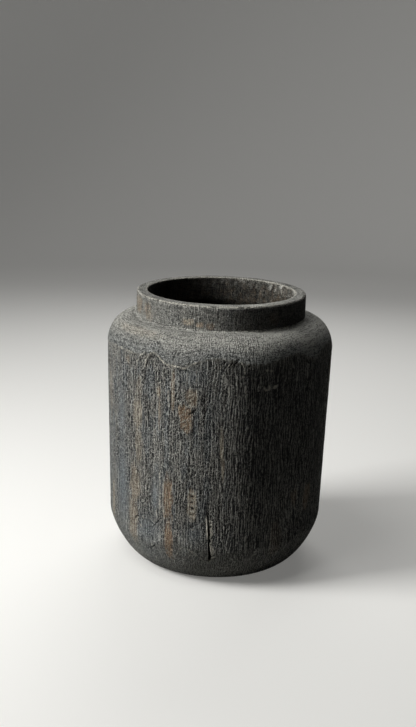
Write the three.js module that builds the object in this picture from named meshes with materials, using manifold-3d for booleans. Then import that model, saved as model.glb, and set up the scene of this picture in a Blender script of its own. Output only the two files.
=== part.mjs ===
// A lidless wooden pot, turned and hollowed from a single length of tree trunk.
//
// The shape comes from the order in which the wood is worked. A log with its bark off is mounted
// between centres. The turner cuts the neck, the shoulder and the corner at the foot, and never
// touches the side between them, which keeps the fluted skin of the tree. Where the even curve of
// the shoulder runs out into that uneven skin, the edge between them rises over each furrow and
// dips over each ridge. The pot is then bored out through its mouth, wider inside than the mouth is.
//
// Units are millimetres. +Z is up, the base is at z = 0, and the trunk's axis is the Z axis.
// The front of the pot faces -Y. An azimuth is in degrees from the front, growing towards +X.

import * as THREE from "three";
import { mergeVertices } from "three/addons/utils/BufferGeometryUtils.js";
import Module from "manifold-3d";

// Heights of the outside
const potHeight = 344;
const neckHeight = 31;
const shoulderHeight = 45;
const footCornerHeight = 74;

// Diameters of the outside. The trunk is widest at the shoulder and tapers to the foot's corner.
// The turning is wider than the trunk by its overrun where it runs out into the skin.
const trunkDiameter = 281;
const trunkTaper = 8;
const shoulderOverrun = 3;
const footCornerOverrun = 6;
const neckDiameter = 211;
const footDiameter = 192;

// Curves of the turning: 2 is a round quarter, more is squarer, less is closer to a chamfer
const shoulderSquareness = 2.4;
const footCornerSquareness = 1.55;
const neckFilletRadius = 3;
const rimOuterRadius = 2.6;
const rimInnerRadius = 1.2;

// The hollow. The wall is measured at the shoulder, and the floor's level part ends inside the
// foot's edge by the inset.
const rimThickness = 13.5;
const wallThickness = 22.5;
const floorThickness = 28;
const floorInset = 14;
const mouthDepth = 30;
const floorCornerHeight = 60;
const ceilingHeight = 66;
const hollowSquareness = 1.8;

// The skin of the trunk. Each flute runs up the whole log and leans by so many degrees over the
// pot's height. A furrow has a depth below the even trunk, and a ridge has a negative one.
const flutes = [
  { azimuth: -84, halfWidth: 8, depth: -0.9, lean: 3 },
  { azimuth: -64, halfWidth: 10, depth: 0.6, lean: 2 },
  { azimuth: -41, halfWidth: 7, depth: -0.2, lean: -2 },
  { azimuth: -34, halfWidth: 3.3, depth: 1.8, lean: 2 },
  { azimuth: -20, halfWidth: 9, depth: -1.4, lean: 3 },
  { azimuth: 3, halfWidth: 10, depth: 1.9, lean: -4 },
  { azimuth: 38, halfWidth: 7, depth: 1.5, lean: 3 },
  { azimuth: 52, halfWidth: 7, depth: -0.8, lean: 2 },
  { azimuth: 70, halfWidth: 8, depth: 1.9, lean: -3 },
  { azimuth: 93, halfWidth: 9, depth: -1.0, lean: 2 },
  { azimuth: 116, halfWidth: 10, depth: 2.1, lean: 4 },
  { azimuth: 141, halfWidth: 7, depth: -0.9, lean: -3 },
  { azimuth: 160, halfWidth: 9, depth: 1.7, lean: 2 },
  { azimuth: 186, halfWidth: 12, depth: 2.4, lean: -2 },
  { azimuth: 211, halfWidth: 7, depth: -1.0, lean: 3 },
  { azimuth: 232, halfWidth: 9, depth: 2.0, lean: 2 },
  { azimuth: 254, halfWidth: 8, depth: 1.2, lean: -3 },
];

// Slow swells round the trunk, so that no two flutes are alike. They lean as the flutes do.
const swells = [
  { lobes: 5, height: 0.4, azimuth: 8, lean: 11 },
  { lobes: 9, height: 0.3, azimuth: 13, lean: -8 },
];

// The healed stub of a branch, low on the left of the front: a shallow dent in the skin
const branchScar = { azimuth: -37, height: 76, halfWidth: 9, halfHeight: 17, depth: 2.6 };

// The fissure between two buttresses of the trunk, low on the front. It leans to the right on its
// way down, and its floor is narrower than its mouth by the pinch at each side.
const fissure = {
  azimuth: -3.4,
  bottom: 38,
  widest: 54,
  top: 100,
  width: 4.6,
  lean: 6,
  depth: 9,
  pinch: 0.8,
};

// How far the raw log, and each cut, run past the finished wood
const spareWood = 8;

// Facets
const outsideSegments = 120;
const hollowSegments = 64;
const trunkRings = 20;
const shoulderSteps = 8;
const footCornerSteps = 6;
const hollowCornerSteps = 5;
const smallCornerSteps = 3;
const fissureSteps = 8;

// The wood, smoked dark and dull with dust
const smokedWood = new THREE.MeshStandardMaterial({
  name: "smoked_wood",
  color: 0x45443f,
  roughness: 0.88,
  metalness: 0,
});

const round = 2;
const fullTurn = 360;
const neckFootHeight = potHeight - neckHeight;
const shoulderFootHeight = neckFootHeight - shoulderHeight;
const trunkFootDiameter = trunkDiameter - trunkTaper;
const { degToRad, euclideanModulo, lerp, radToDeg } = THREE.MathUtils;
const wasm = await Module();
wasm.setup();

// A point of a turned profile: its distance from the axis and its height
function at(radius, height) {
  return new THREE.Vector2(radius, height);
}

// A quarter of a rounded corner from one point of a profile to the next, without the first. It
// leaves an upright line for a level one, or a level line for an upright one.
function corner(from, to, squareness, steps, leaves) {
  const points = [];
  for (let i = 1; i <= steps; i += 1) {
    const turn = (Math.PI * i) / (2 * steps);
    const ahead = Math.abs(Math.sin(turn)) ** (2 / squareness);
    const aside = 1 - Math.abs(Math.cos(turn)) ** (2 / squareness);
    const [outward, upward] = leaves === "upright" ? [aside, ahead] : [ahead, aside];
    points.push(at(lerp(from.x, to.x, outward), lerp(from.y, to.y, upward)));
  }
  return points;
}

// The outside as the tool would leave it, if the log were thick enough everywhere
function turnedProfile() {
  const neckRadius = neckDiameter / 2;
  const footEdge = at(footDiameter / 2, 0);
  const footCornerTop = at((trunkFootDiameter + footCornerOverrun) / 2, footCornerHeight);
  const shoulderFoot = at((trunkDiameter + shoulderOverrun) / 2, shoulderFootHeight);
  const filletFoot = at(neckRadius + neckFilletRadius, neckFootHeight);
  const filletTop = at(neckRadius, neckFootHeight + neckFilletRadius);
  const rimFoot = at(neckRadius, potHeight - rimOuterRadius);
  const rimTop = at(neckRadius - rimOuterRadius, potHeight);
  return [
    at(0, 0),
    footEdge,
    ...corner(footEdge, footCornerTop, footCornerSquareness, footCornerSteps, "level"),
    shoulderFoot,
    ...corner(shoulderFoot, filletFoot, shoulderSquareness, shoulderSteps, "upright"),
    ...corner(filletFoot, filletTop, round, smallCornerSteps, "level"),
    rimFoot,
    ...corner(rimFoot, rimTop, round, smallCornerSteps, "upright"),
    at(0, potHeight),
  ];
}

// The space inside: a floor, a wide hollow, its ceiling under the shoulder, and a straight mouth
// with its edge rounded over
function hollowProfile() {
  const mouthRadius = neckDiameter / 2 - rimThickness;
  const hollowRadius = trunkDiameter / 2 - wallThickness;
  const floorEdge = at(footDiameter / 2 - floorInset, floorThickness);
  const floorCornerTop = at(hollowRadius, floorThickness + floorCornerHeight);
  const mouthFoot = at(mouthRadius, potHeight - mouthDepth);
  const ceilingFoot = at(hollowRadius, mouthFoot.y - ceilingHeight);
  const mouthEdgeFoot = at(mouthRadius, potHeight - rimInnerRadius);
  const mouthEdgeTop = at(mouthRadius + rimInnerRadius, potHeight);
  return [
    at(0, floorThickness),
    floorEdge,
    ...corner(floorEdge, floorCornerTop, hollowSquareness, hollowCornerSteps, "level"),
    ceilingFoot,
    ...corner(ceilingFoot, mouthFoot, hollowSquareness, hollowCornerSteps, "upright"),
    mouthEdgeFoot,
    ...corner(mouthEdgeFoot, mouthEdgeTop, round, smallCornerSteps, "upright"),
    at(mouthEdgeTop.x, potHeight + spareWood),
    at(0, potHeight + spareWood),
  ];
}

// The angle from one azimuth to another by the shorter way round
function turnBetween(from, to) {
  return euclideanModulo(to - from + fullTurn / 2, fullTurn) - fullTurn / 2;
}

// The distance of the trunk's skin from the axis
function trunkRadius(azimuth, height) {
  const belly = (height - footCornerHeight) / (shoulderFootHeight - footCornerHeight);
  const aboveMiddle = height / potHeight - 1 / 2;
  let radius = lerp(trunkFootDiameter, trunkDiameter, belly) / 2;
  for (const flute of flutes) {
    const middle = flute.azimuth + flute.lean * aboveMiddle;
    const away = turnBetween(middle, azimuth) / flute.halfWidth;
    radius -= flute.depth * Math.exp(-away * away);
  }
  for (const swell of swells) {
    const middle = swell.azimuth + swell.lean * aboveMiddle;
    radius += swell.height * Math.cos(degToRad(swell.lobes * (azimuth - middle)));
  }
  const aside = turnBetween(branchScar.azimuth, azimuth) / branchScar.halfWidth;
  const above = (height - branchScar.height) / branchScar.halfHeight;
  return radius - branchScar.depth * Math.exp(-aside * aside - above * above);
}

// A profile turned about the Z axis, with its first column of points at the front
function turned(profile, segments) {
  return new THREE.LatheGeometry(profile, segments).rotateX(Math.PI / 2);
}

// The log with its bark off: an even cylinder with each point of its side moved to the skin
function logGeometry() {
  const bottom = -spareWood;
  const top = potHeight + spareWood;
  const side = Array.from({ length: trunkRings + 1 }, (_, ring) =>
    at(1, lerp(bottom, top, ring / trunkRings)),
  );
  const geometry = turned([at(0, bottom), ...side, at(0, top)], outsideSegments);
  const points = geometry.getAttribute("position");
  for (let i = 0; i < points.count; i += 1) {
    const onAxis = Math.hypot(points.getX(i), points.getY(i)) < 1 / 2;
    const azimuth = radToDeg(Math.atan2(points.getX(i), -points.getY(i)));
    const radius = onAxis ? 0 : trunkRadius(azimuth, points.getZ(i));
    points.setX(i, points.getX(i) * radius);
    points.setY(i, points.getY(i) * radius);
  }
  return geometry;
}

// The wood that is missing from the fissure: a leaf-shaped outline seen from the front, pushed
// into the trunk, with its deep face pinched
function fissureGeometry() {
  const spine = (height) => {
    const rise = (height - fissure.bottom) / (fissure.top - fissure.bottom);
    return fissure.lean * (1 / 2 - rise);
  };
  const right = spine(fissure.widest) + fissure.width / 2;
  const left = spine(fissure.widest) - fissure.width / 2;
  const upperMiddle = (fissure.widest + fissure.top) / 2;
  const lowerMiddle = (fissure.widest + fissure.bottom) / 2;
  const outline = new THREE.Shape();
  outline.moveTo(spine(fissure.top), fissure.top);
  outline.quadraticCurveTo(left, upperMiddle, left, fissure.widest);
  outline.quadraticCurveTo(left, lowerMiddle, spine(fissure.bottom), fissure.bottom);
  outline.quadraticCurveTo(right, lowerMiddle, right, fissure.widest);
  outline.quadraticCurveTo(right, upperMiddle, spine(fissure.top), fissure.top);
  const geometry = new THREE.ExtrudeGeometry(outline, {
    depth: fissure.depth + spareWood,
    bevelEnabled: false,
    curveSegments: fissureSteps,
  });
  const points = geometry.getAttribute("position");
  for (let i = 0; i < points.count; i += 1) {
    const aside = points.getX(i) - spine(points.getY(i));
    const isDeep = points.getZ(i) < fissure.depth / 2;
    points.setX(i, points.getX(i) - (isDeep ? aside * fissure.pinch : 0));
  }
  const floorRadius = trunkRadius(fissure.azimuth, fissure.widest) - fissure.depth;
  return geometry
    .translate(0, 0, floorRadius)
    .rotateX(Math.PI / 2)
    .rotateZ(degToRad(fissure.azimuth));
}

// A closed geometry as a solid. Triangles that have shrunk to a line at the axis are left out.
function solid(geometry) {
  const bare = geometry.clone();
  bare.deleteAttribute("normal");
  bare.deleteAttribute("uv");
  const merged = mergeVertices(bare);
  const corners = merged.getIndex().array;
  const kept = [];
  for (let i = 0; i < corners.length; i += 3) {
    const [a, b, c] = corners.slice(i, i + 3);
    if (a !== b && b !== c && c !== a) {
      kept.push(a, b, c);
    }
  }
  return new wasm.Manifold(
    new wasm.Mesh({
      numProp: 3,
      vertProperties: merged.getAttribute("position").array,
      triVerts: Uint32Array.from(kept),
    }),
  );
}

// A solid as a geometry
function surface(body) {
  const { vertProperties, triVerts } = body.getMesh();
  const geometry = new THREE.BufferGeometry();
  geometry.setAttribute("position", new THREE.BufferAttribute(vertProperties, 3));
  geometry.setIndex(new THREE.BufferAttribute(triVerts, 1));
  geometry.computeVertexNormals();
  return geometry;
}

// The pot, in the order in which it is worked
function potBody() {
  const log = solid(logGeometry());
  const turnedOutside = solid(turned(turnedProfile(), outsideSegments));
  const hollow = solid(turned(hollowProfile(), hollowSegments));
  const gap = solid(fissureGeometry());
  const pot = new THREE.Mesh(
    surface(log.intersect(turnedOutside).subtract(hollow).subtract(gap)),
    smokedWood,
  );
  pot.name = "pot_body";
  return pot;
}

const woodenPot = new THREE.Group();
woodenPot.name = "wooden_pot";
woodenPot.add(potBody());

export default woodenPot;
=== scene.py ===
"""A lidless wooden pot, turned and hollowed from one length of tree trunk, smoked dark and dusted.

The pot is one closed mesh, built as rings of points that follow its section from the middle of the
base up the outside, over the rim and down to the middle of the floor. Each ring starts from the
turned form or from the skin of the log. Each point then moves by the relief of its own stretch, away
from the axis on the skin and along the surface's normal elsewhere: ridges on the skin, end-grain
pits on the shoulder, scratches on the neck, gouge marks inside. What was worn or dusted is kept on
the points as masks, and so are painted shade, in cracks, cuts, pits and chips, deep inside and on the
side away from the key lamp, and painted light and highlights in a few places. One node material
mixes the colours from them.

Lengths are in millimetres until the mesh is made, and angles are in degrees. An azimuth is counted
from the front, which faces -Y, towards +X.
"""

import math
from collections import namedtuple

import bpy
import numpy as np
from mathutils import Matrix, Vector


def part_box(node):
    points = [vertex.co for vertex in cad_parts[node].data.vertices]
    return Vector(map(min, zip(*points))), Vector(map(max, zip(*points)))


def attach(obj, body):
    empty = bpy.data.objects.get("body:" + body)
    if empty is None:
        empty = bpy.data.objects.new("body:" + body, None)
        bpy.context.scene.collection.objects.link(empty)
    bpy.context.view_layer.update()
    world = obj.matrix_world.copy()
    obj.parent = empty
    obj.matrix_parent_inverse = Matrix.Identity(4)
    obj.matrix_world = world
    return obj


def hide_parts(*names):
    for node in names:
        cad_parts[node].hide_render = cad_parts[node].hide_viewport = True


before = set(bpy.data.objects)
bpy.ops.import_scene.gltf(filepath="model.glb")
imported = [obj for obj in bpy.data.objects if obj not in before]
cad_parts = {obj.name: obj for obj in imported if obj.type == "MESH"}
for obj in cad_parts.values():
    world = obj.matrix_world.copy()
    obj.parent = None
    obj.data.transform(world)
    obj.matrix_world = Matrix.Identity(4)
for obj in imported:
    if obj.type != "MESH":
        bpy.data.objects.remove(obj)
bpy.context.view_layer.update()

MILLIMETRE = 0.001

# Sizes of the turned form, the same as the construction's but for a gentler undercut
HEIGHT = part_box("pot_body")[1].z / MILLIMETRE
NECK_HEIGHT = 31
SHOULDER_HEIGHT = 45
FOOT_CORNER_HEIGHT = 74
TRUNK_RADIUS = 140.5
TRUNK_FOOT_RADIUS = 136.5
SHOULDER_OVERRUN = 1.5
FOOT_CORNER_OVERRUN = 3
NECK_RADIUS = 105.5
FOOT_RADIUS = 96
SHOULDER_SQUARENESS = 2.4
FOOT_CORNER_SQUARENESS = 1.55
NECK_FILLET_RADIUS = 3
RIM_OUTER_RADIUS = 2.6
RIM_INNER_RADIUS = 1.2
RIM_THICKNESS = 13.5
WALL_THICKNESS = 22.5
FLOOR_THICKNESS = 28
FLOOR_INSET = 14
INNERMOST_RADIUS = 3
MOUTH_DEPTH = 30
FLOOR_CORNER_HEIGHT = 60
CEILING_HEIGHT = 66
CEILING_SQUARENESS = 1.12
HOLLOW_SQUARENESS = 1.8
ROUND = 2

NECK_FOOT = HEIGHT - NECK_HEIGHT
SHOULDER_FOOT = NECK_FOOT - SHOULDER_HEIGHT
MOUTH_RADIUS = NECK_RADIUS - RIM_THICKNESS
HOLLOW_RADIUS = TRUNK_RADIUS - WALL_THICKNESS


# The skin of the log: furrows and ridges that run up it, and slow swells round it
Flute = namedtuple("Flute", "azimuth half_width depth lean")
FLUTES = [Flute(*row) for row in (
    (-84, 8, -0.9, 3), (-64, 10, 0.6, 2), (-41, 7, -0.2, -2), (-34, 3.3, 1.8, 2), (-20, 9, -1.4, 3),
    (3, 10, 1.9, -4), (38, 7, 1.5, 3), (52, 7, -0.8, 2), (70, 8, 1.9, -3), (93, 9, -1, 2),
    (116, 10, 2.1, 4), (141, 7, -0.9, -3), (160, 9, 1.7, 2), (186, 12, 2.4, -2), (211, 7, -1, 3),
    (232, 9, 2, 2), (254, 8, 1.2, -3),
)]
Swell = namedtuple("Swell", "lobes height azimuth lean")
SWELLS = [Swell(5, 0.4, 8, 11), Swell(9, 0.3, 13, -8)]
Dent = namedtuple("Dent", "azimuth height half_width half_height depth")
BRANCH_SCAR = Dent(-37, 76, 9, 17, 2.6)

# Relief of each surface
RIDGE_WIDTH = 5.2
RIDGE_LENGTH = 55
RIDGE_DEPTH = 0.26
FIBRE_WIDTH = 2.4
FIBRE_LENGTH = 9
FIBRE_DEPTH = 0.24
RIDGE_SWAY = 2.4
SWAY_SIZE = (13, 13, 26)
CRUMBLE_SIZE = 3.2
CRUMBLE_DEPTH = 0.5
CRUMBLE_REACH = 13
SLIVER_WIDTH = 1.6
SLIVER_LENGTH = 5.5
SLIVER_SLANT = 38
SLIVER_DEPTH = 0.9
LIP_DEPTH = 0.55
LIP_REACH = 6
PIT_SIZE = 2.4
PIT_DEPTH = 0.28
GRIT_SIZE = 1.9
GRIT_DEPTH = 0.13
TOOL_LINE_PITCH = 1.9
RING_PITCH = 2.7
RING_DEPTH = 0.05
SCRATCH_WIDTH = 2.3
SCRATCH_LENGTH = 5
SCRATCH_DEPTH = 0.18
GOUGE_WIDTH = 9
GOUGE_DEPTH = 0.7
# The azimuth of the inside's lit wall, painted paler as painted light
PAINTED_LIGHT_INSIDE = 112
NECK_LINE_RADIUS = 110.6
NECK_LINE_WIDTH = 0.8
NECK_LINE_DEPTH = 0.45
RIM_UNEVENNESS = 0.3
CHIP_DEPTH = 0.35
# The azimuth of the neck's lit left, where the neck is dusty and painted paler as painted light and the
# shoulder's flat top has less dust; the azimuth on the right where the pale of the shoulder's top reaches
# further down, partly as painted light; and how far below the rim the painted shade inside starts and where
# it is full
PAINTED_LIGHT_LEFT = -62
PAINTED_LIGHT_RIGHT = 50
SHADE_TOP_BELOW_RIM = 38
SHADE_FULL_BELOW_RIM = 115

# The fissure low on the front: where its crisp left edge runs, how wide it gapes to the right of
# that, and the broken slope along its right side
FISSURE_HEIGHTS = [38, 48, 57, 75, 91, 101, 112]
FISSURE_AZIMUTHS = [-3.1, -3.1, -3.2, -3.4, -4.0, -4.4, -4.6]
FISSURE_GAP_HEIGHTS = [36.5, 40, 47, 54, 62, 72, 77, 81, 85, 91, 100, 103]
FISSURE_GAP_WIDTHS = [0, 3.4, 3.0, 2.0, 1.5, 1.4, 2.2, 1.4, 1.8, 1.1, 0.7, 0]
FISSURE_BOTTOM = 32
FISSURE_TOP = 120
FISSURE_DEPTH = 9
FISSURE_SLOPE_WIDTH = 5.6
FISSURE_SLOPE_DEPTH = 0.45
FISSURE_HOLE_DEPTH = 0.9
FISSURE_LIP_HEIGHT = 0.4

# The mesh. Columns stand closer together on the front, and closest at the fissure and the branch
# scar. Rings lie a spacing apart.
COLUMNS = 832
FRONT_COLUMN_GAIN = 0.8
FRONT_COLUMN_AZIMUTH = -20
FRONT_COLUMN_SPREAD = 50
FISSURE_COLUMN_GAIN = 4
FISSURE_COLUMN_SPREAD = 1.6
SCAR_COLUMN_GAIN = 0.8
SCAR_COLUMN_SPREAD = 11
FISSURE_PULL = 10
OUTSIDE_SPACING = 1.3
EDGE_SPACING = 0.6
MOUTH_SPACING = 2
HOLLOW_SPACING = 4
CURVE_SAMPLES = 400
CRISP_ANGLE = 48
CROSSING_HALVINGS = 30

# Stretches of the section, in the order in which the rings pass them
(BASE, FOOT, SIDE, SHOULDER, NECK, RIM, MOUTH, CEILING, WALL, FLOOR_CORNER, FLOOR) = range(11)

# Seeds of the noise and of the marks on the back
(RIDGES, SWAY_X, SWAY_Y, FIBRES, UNEVEN, CRUMBLE, SLIVERS, PITS, GRIT, SCRATCHES, GOUGES, RINGS, CHIPS,
 EDGE_NOISE, MARK_NOISE, WOBBLE, BREAK_UP, FISSURE_RAG, BACK_MARKS, BLOTCHES) = range(20)


def turn_to(start, end):
    """The angle from one azimuth to another by the shorter way round."""
    return (end - start + 180) % 360 - 180


def ease(value, low, high):
    """0 up to low and 1 from high, with a smooth rise between them."""
    share = np.clip((value - low) / (high - low), 0, 1)
    return share * share * (3 - 2 * share)


def bell(away):
    """1 at nought, and less on both sides of it."""
    return np.exp(-away * away)


# Noise

# Brings the noise to about -1 to 1
NOISE_GAIN = 1.7


def noise_at(points, size, seed):
    """Seeded gradient noise, about -1 to 1, at (n, 3) points, with cells of the given size or sizes."""
    rng = np.random.default_rng(seed)
    order = rng.permutation(256)
    gradients = rng.normal(size=(256, 3))
    gradients /= np.linalg.norm(gradients, axis=1, keepdims=True)
    scaled = points / np.asarray(size, float)
    cell = np.floor(scaled).astype(int)
    local = scaled - cell
    fade = local ** 3 * (local * (local * 6 - 15) + 10)
    total = np.zeros(len(points))
    for corner_index in range(8):
        step = np.array([corner_index & 1, corner_index >> 1 & 1, corner_index >> 2 & 1])
        x, y, z = (cell + step).T
        key = order[(order[(order[x & 255] + y) & 255] + z) & 255]
        weight = np.prod(np.where(step, fade, 1 - fade), axis=1)
        total += weight * np.einsum("ij,ij->i", gradients[key], local - step)
    return total * NOISE_GAIN


def on_cylinder(azimuth, height, radius=TRUNK_RADIUS):
    """Points round the axis at a radius, where noise is read so that it has no seam."""
    turn = np.radians(azimuth)
    return np.stack([radius * np.sin(turn), -radius * np.cos(turn), height], axis=-1)


# The turned section

def measured(radius, height):
    """A path as (length so far, radius, height)."""
    steps = np.hypot(np.diff(radius), np.diff(height))
    return np.concatenate([[0], np.cumsum(steps)]), np.asarray(radius, float), np.asarray(height, float)


def line(start, end):
    return measured([start[0], end[0]], [start[1], end[1]])


def corner(start, end, squareness, leaves):
    """A quarter of a superellipse. It leaves an upright line for a level one, or the reverse."""
    turn = np.linspace(0, math.pi / 2, CURVE_SAMPLES)
    ahead = np.sin(turn) ** (2 / squareness)
    aside = 1 - np.cos(turn) ** (2 / squareness)
    outward, upward = (aside, ahead) if leaves == "upright" else (ahead, aside)
    radius = start[0] + (end[0] - start[0]) * outward
    height = start[1] + (end[1] - start[1]) * upward
    return measured(radius, height)


FOOT_PATH = corner(
    (FOOT_RADIUS, 0),
    (TRUNK_FOOT_RADIUS + FOOT_CORNER_OVERRUN, FOOT_CORNER_HEIGHT),
    FOOT_CORNER_SQUARENESS,
    "level",
)
SHOULDER_PATH = corner(
    (TRUNK_RADIUS + SHOULDER_OVERRUN, SHOULDER_FOOT),
    (NECK_RADIUS + NECK_FILLET_RADIUS, NECK_FOOT),
    SHOULDER_SQUARENESS,
    "upright",
)


def turned_radius(height):
    """The radius that the tool leaves at a height below the neck."""
    radii = np.concatenate([FOOT_PATH[1], SHOULDER_PATH[1]])
    heights = np.concatenate([FOOT_PATH[2], SHOULDER_PATH[2]])
    return np.interp(height, heights, radii)


# The skin of the log

def trunk_radius(azimuth, height):
    """The distance of the trunk's even skin from the axis, before its ridges."""
    belly = (height - FOOT_CORNER_HEIGHT) / (SHOULDER_FOOT - FOOT_CORNER_HEIGHT)
    above_middle = height / HEIGHT - 1 / 2
    radius = TRUNK_FOOT_RADIUS + (TRUNK_RADIUS - TRUNK_FOOT_RADIUS) * belly
    for flute in FLUTES:
        middle = flute.azimuth + flute.lean * above_middle
        radius = radius - flute.depth * bell(turn_to(middle, azimuth) / flute.half_width)
    for swell in SWELLS:
        middle = swell.azimuth + swell.lean * above_middle
        radius = radius + swell.height * np.cos(np.radians(swell.lobes * (azimuth - middle)))
    return radius - BRANCH_SCAR.depth * dent(azimuth, height, BRANCH_SCAR)


def dent(azimuth, height, place):
    """1 in the middle of a place, and less all round it."""
    aside = turn_to(place.azimuth, azimuth) / place.half_width
    above = (height - place.height) / place.half_height
    return np.exp(-aside * aside - above * above)


# Smooth places, where the wood was rubbed down to a bluish grey and the ridges are faint
Smooth = namedtuple("Smooth", "azimuth height half_width half_height strength")
SMOOTH_PLACES = [Smooth(*row) for row in (
    (-57.3, 112, 6.5, 66, 1), (-57.4, 200, 4.4, 56, 0.75), (-74, 160, 6, 95, 0.45),
    (-32.6, 111, 2.7, 27, 1), (-38, 62, 9, 26, 1), (-40, 32, 17, 22, 1), (-57, 45, 10, 22, 0.7),
    (-10.5, 73, 5, 15, 0.8), (-13, 268, 8, 13, 0.7), (-15.1, 179, 1.6, 16, 0.5), (-6.8, 268, 1.8, 14, 0.5),
    (84, 95, 8, 60, 0.5), (127, 66, 10, 40, 0.9), (150, 160, 5, 70, 0.6), (198, 70, 9, 45, 0.9),
    (222, 180, 5, 60, 0.7), (246, 80, 8, 55, 0.8),
)]


def blueness(azimuth, height):
    """How blue the smooth places are, from 0 to 1."""
    total = 0
    for place in SMOOTH_PLACES:
        total = np.maximum(total, place.strength * dent(azimuth, height, place))
    return total


def smoothness(azimuth, height):
    """How faint the ridges are, from 0 to 1: in the smooth places, and on the left of the front."""
    left = 0.4 * bell(turn_to(-68, azimuth) / 16)
    return np.clip(np.maximum(blueness(azimuth, height), left), 0, 1)


def skin(azimuth, height):
    """(how far the skin lies below the even trunk, how near a crest it is, how rough it is)."""
    points = on_cylinder(azimuth, height)
    sway = [noise_at(points, SWAY_SIZE, seed) for seed in (SWAY_X, SWAY_Y)]
    sway = np.stack([*sway, np.zeros(len(points))], axis=-1)
    swayed = points + RIDGE_SWAY * sway
    wave = noise_at(swayed, (RIDGE_WIDTH, RIDGE_WIDTH, RIDGE_LENGTH), RIDGES)
    ridge = 1 - np.clip(np.abs(wave) * 2.2, 0, 1)
    ripple = noise_at(swayed, (FIBRE_WIDTH, FIBRE_WIDTH, FIBRE_LENGTH), FIBRES)
    fibre = 1 - np.clip(np.abs(ripple) * 2, 0, 1)
    uneven = 0.5 + 0.5 * noise_at(points, (26, 26, 90), UNEVEN)
    rough = (0.65 + 0.5 * uneven) * (1 - 0.55 * smoothness(azimuth, height))
    below = rough * (RIDGE_DEPTH * (1 - ridge) + FIBRE_DEPTH * (1 - fibre))
    return below, 0.6 * ridge + 0.4 * fibre, rough


def crossing(path, rises):
    """How far along a corner's path, in each column, the turning meets the even trunk."""
    low = np.zeros(COLUMNS)
    high = np.full(COLUMNS, path[0][-1])
    for _ in range(CROSSING_HALVINGS):
        middle = (low + high) / 2
        radius = np.interp(middle, path[0], path[1])
        height = np.interp(middle, path[0], path[2])
        inside = radius < trunk_radius(azimuth_at(height), height)
        before = inside if rises else ~inside
        low = np.where(before, middle, low)
        high = np.where(before, high, middle)
    return (low + high) / 2


# Rings

def fissure_azimuth(height):
    return np.interp(height, FISSURE_HEIGHTS, FISSURE_AZIMUTHS)


def column_azimuths():
    """Azimuths of the columns where nothing pulls them aside, closest together at the fissure."""
    fine = np.linspace(-180, 180, 36001)
    density = 1 + FRONT_COLUMN_GAIN * bell((fine - FRONT_COLUMN_AZIMUTH) / FRONT_COLUMN_SPREAD)
    density += FISSURE_COLUMN_GAIN * bell((fine - FISSURE_AZIMUTHS[-1]) / FISSURE_COLUMN_SPREAD)
    density += SCAR_COLUMN_GAIN * bell((fine - BRANCH_SCAR.azimuth) / SCAR_COLUMN_SPREAD)
    total = np.concatenate([[0], np.cumsum((density[1:] + density[:-1]) / 2)])
    shares = np.arange(COLUMNS) / COLUMNS
    return np.interp(shares * total[-1], total, fine)


COLUMN_AZIMUTHS = column_azimuths()
COLUMN_PULL = bell((COLUMN_AZIMUTHS - FISSURE_AZIMUTHS[-1]) / FISSURE_PULL)


def azimuth_at(height):
    """Azimuths of all columns at a height, drawn along with the fissure as it leans."""
    return COLUMN_AZIMUTHS + (fissure_azimuth(height) - FISSURE_AZIMUTHS[-1]) * COLUMN_PULL


Ring = namedtuple("Ring", "radius height stretch stride")

# Every how many columns a ring has a point, and down to which radius, so that points stay apart near
# the axis
EVERY_COLUMN = ((1, 0),)
OUTSIDE_STRIDES = ((1, 66), (2, 34), (4, 17), (8, 9), (16, 0))
HOLLOW_STRIDES = ((2, 50), (4, 26), (8, 13), (16, 0))


def rings_along(path, spacing, stretch, strides=EVERY_COLUMN, first=0.0, last=None):
    """Rings at even steps from first to before last, which may differ from column to column."""
    first = np.broadcast_to(first, COLUMNS)
    last = np.broadcast_to(path[0][-1] if last is None else last, COLUMNS)
    count = max(1, math.ceil(float(np.mean(last - first)) / spacing))
    rings = []
    for step in range(count):
        along = first + (last - first) * step / count
        radius = np.interp(along, path[0], path[1])
        height = np.interp(along, path[0], path[2])
        stride = next(every for every, least in strides if float(radius.mean()) >= least)
        rings.append(Ring(radius, height, stretch, stride))
    return rings


def side_rings(foot, shoulder):
    """Rings over the skin of the log, between the heights at which the turning meets it."""
    count = math.ceil(float(np.mean(shoulder - foot)) / OUTSIDE_SPACING)
    rings = []
    for step in range(count):
        height = foot + (shoulder - foot) * step / count
        rings.append(Ring(trunk_radius(azimuth_at(height), height), height, SIDE, 1))
    return rings


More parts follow.
